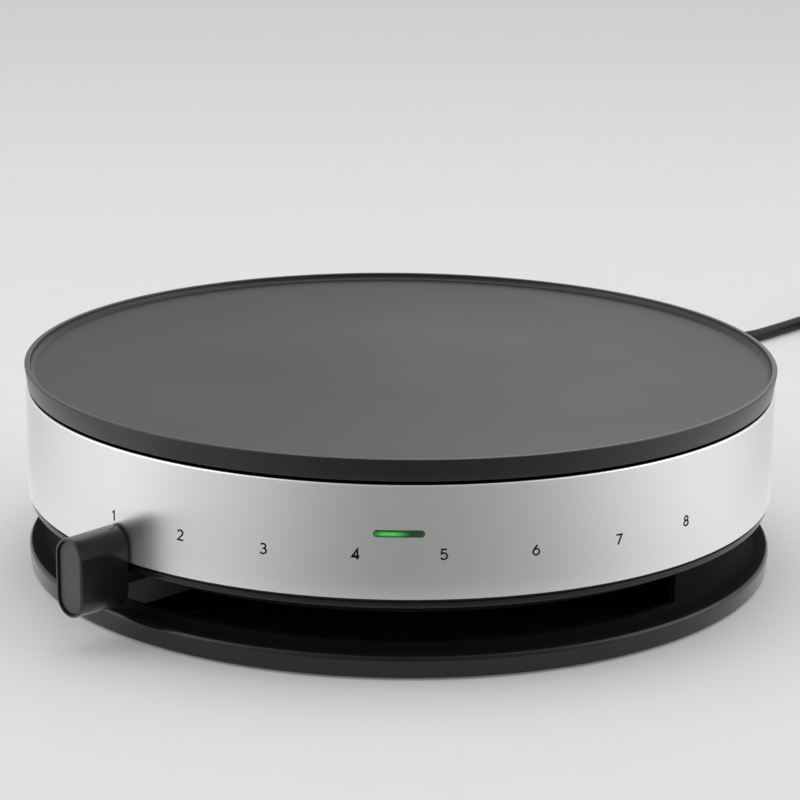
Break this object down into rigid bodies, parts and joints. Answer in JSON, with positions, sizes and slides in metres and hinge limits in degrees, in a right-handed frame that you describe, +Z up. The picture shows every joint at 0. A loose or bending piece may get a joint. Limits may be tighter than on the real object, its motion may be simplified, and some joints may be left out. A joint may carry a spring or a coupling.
{
  "type": "electric crepe maker",
  "caption": "Round countertop crepe maker with a low-rimmed non-stick plate, steel band, pilot light and a slider knob that swings round the base to set the heat.",
  "frame": {"origin": "on the table under the centre of the round body", "axes": "+Z up, front with the pilot light towards -Y, +X to the right seen from the front"},
  "size_m": [0.5577, 0.6956, 0.09],
  "materials": {
    "plate_coating": "non-stick coating, satin, fine turned lines on the rim",
    "band_steel": "brushed lengthwise, clear lacquer",
    "body_plastic": "glossy black moulded plastic",
    "knob_plastic": "smooth black moulded plastic",
    "panel_plastic": "fine matt grey",
    "arm_plastic": "dark grey glass-filled plastic",
    "cover_plastic": "black plastic, fine grain",
    "foot_rubber": "soft matt rubber",
    "cord_rubber": "smooth black sheath",
    "lens_green": "ribbed translucent green",
    "lamp_glass": "clear glass capsule",
    "ceramic_white": "unglazed steatite",
    "plain_steel": "zinc-plated",
    "shield_steel": "aluminised sheet",
    "element_steel": "heat-darkened sheath",
    "screw_steel": "zinc-plated",
    "pin_brass": "nickel-plated brass",
    "lead_live": "brown silicone",
    "lead_neutral": "blue silicone",
    "lead_earth": "green and yellow silicone"
  },
  "bodies": {
    "body": {"griddle_plate": "plate_coating", "heating_element": "element_steel", "element_terminals": "plain_steel", "element_clips": "plain_steel", "clip_screws": "screw_steel", "thermal_cutout": "plain_steel", "cutout_clip": "plain_steel", "cutout_screws": "screw_steel", "heat_shield": "shield_steel", "plate_spacers": "plain_steel", "plate_screws": "screw_steel", "thermostat_body": "ceramic_white", "thermostat_bracket": "plain_steel", "bracket_screws": "screw_steel", "steel_band": "band_steel", "body_shell": "body_plastic", "indicator_lens": "lens_green", "lamp_holder": "ceramic_white", "indicator_lamp": "lamp_glass", "base_tray": "body_plastic", "bottom_cover": "cover_plastic", "cover_screws": "screw_steel", "rubber_feet": "foot_rubber", "strain_relief": "cord_rubber", "inner_cord": "cord_rubber", "cord_clamp": "arm_plastic", "clamp_screws": "screw_steel", "terminal_block": "ceramic_white", "block_screws": "screw_steel", "cord_cores": "lead_neutral", "live_lead": "lead_live", "neutral_lead": "lead_neutral", "earth_lead": "lead_earth", "load_lead": "lead_live", "lamp_leads": "lead_neutral", "earth_screw": "screw_steel", "power_cord": "cord_rubber", "cord_coil": "cord_rubber", "cord_tail": "cord_rubber", "power_plug": "cord_rubber", "plug_pins": "pin_brass", "plug_contacts": "pin_brass"},
    "slider": {"slider_arm": "arm_plastic", "slider_knob": "knob_plastic", "knob_panel": "panel_plastic", "arm_screw": "screw_steel", "thermostat_spindle": "plain_steel"}
  },
  "joints": [
    {"name": "slider_turn", "type": "hinge", "parent": "body", "child": "slider", "pos_m": [0, 0, 0.0185], "axis": [0, 0, 1], "range_deg": [0, 87.2]}
  ]
}
